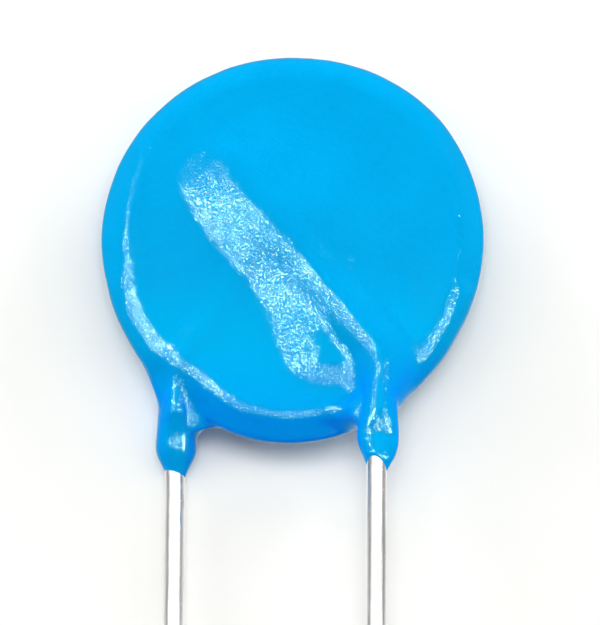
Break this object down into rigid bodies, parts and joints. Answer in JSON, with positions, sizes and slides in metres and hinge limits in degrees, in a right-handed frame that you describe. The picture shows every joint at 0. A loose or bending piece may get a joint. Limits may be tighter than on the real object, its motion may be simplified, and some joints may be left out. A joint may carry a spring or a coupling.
{
  "type": "disc varistor",
  "caption": "Blue epoxy-dipped disc varistor with parallel straight wire leads, lying on its back; clamps voltage surges on a circuit board.",
  "frame": {"origin": "midpoint between the two leads, on the disc's middle plane, at the seating line: the level of a board's face, half a millimetre short of the resin", "axes": "+X across the lead pitch towards the front face's lead, +Y from the leads towards the disc, +Z out of the disc's front face, which is up"},
  "size_m": [0.0153, 0.0391, 0.004],
  "materials": {
    "epoxy_coating": "sky-blue dipped epoxy, fine orange peel, semi-gloss",
    "ceramic_disc": "fired zinc oxide, matte dark grey-green",
    "electrode": "fired silver, matte",
    "solder": "tin solder, satin",
    "lead_wire": "bright tinned copper"
  },
  "bodies": {
    "root": {"epoxy_coating": "epoxy_coating", "ceramic_disc": "ceramic_disc", "front_electrode": "electrode", "rear_electrode": "electrode", "front_solder": "solder", "rear_solder": "solder", "front_lead": "lead_wire", "rear_lead": "lead_wire"}
  },
  "joints": []
}
